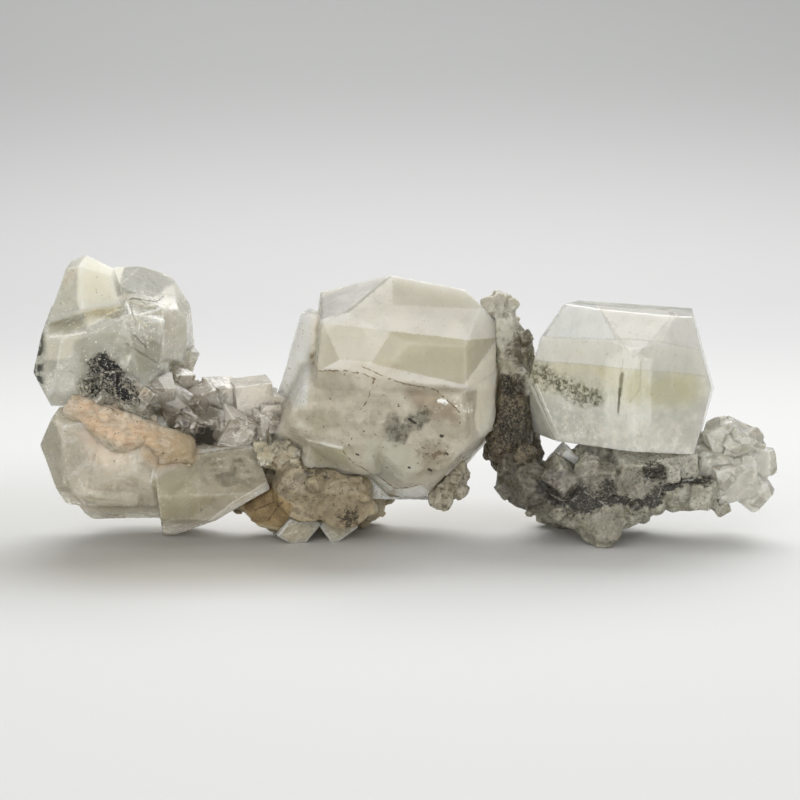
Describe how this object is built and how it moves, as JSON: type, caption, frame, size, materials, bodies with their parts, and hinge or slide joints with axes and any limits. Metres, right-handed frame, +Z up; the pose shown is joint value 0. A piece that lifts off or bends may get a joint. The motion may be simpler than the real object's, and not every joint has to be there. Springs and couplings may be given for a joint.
{
  "type": "apophyllite specimen",
  "caption": "Natural mineral specimen: clear and milky apophyllite crystals on an L-shaped druzy matrix with a patch of peach stilbite.",
  "frame": {"origin": "under the middle of the specimen's box, at the height of the surface it stands on", "axes": "+X along its length towards the clearest crystal, -Y to the front, +Z up"},
  "size_m": [0.1106, 0.0302, 0.0431],
  "materials": {
    "clear_crystal": "clear, flat glossy faces",
    "milky_crystal": "milky, satin faces",
    "peach_stilbite": "satin",
    "pale_druse": "frosted, sparkling",
    "dark_druse": "granular, sparkling",
    "brown_druse": "granular"
  },
  "bodies": {
    "root": {"right_crystal": "clear_crystal", "middle_crystal": "milky_crystal", "upper_left_crystals": "clear_crystal", "lower_left_crystals": "milky_crystal", "stilbite": "peach_stilbite", "left_druse": "dark_druse", "bridge_crystals": "pale_druse", "foot_crystal": "clear_crystal", "grey_knob": "dark_druse", "brown_matrix": "brown_druse", "end_cluster": "pale_druse", "arm_column": "dark_druse", "arm_foot": "dark_druse", "toe_left": "clear_crystal", "toe_right": "clear_crystal", "arm_crystal": "clear_crystal"}
  },
  "joints": []
}
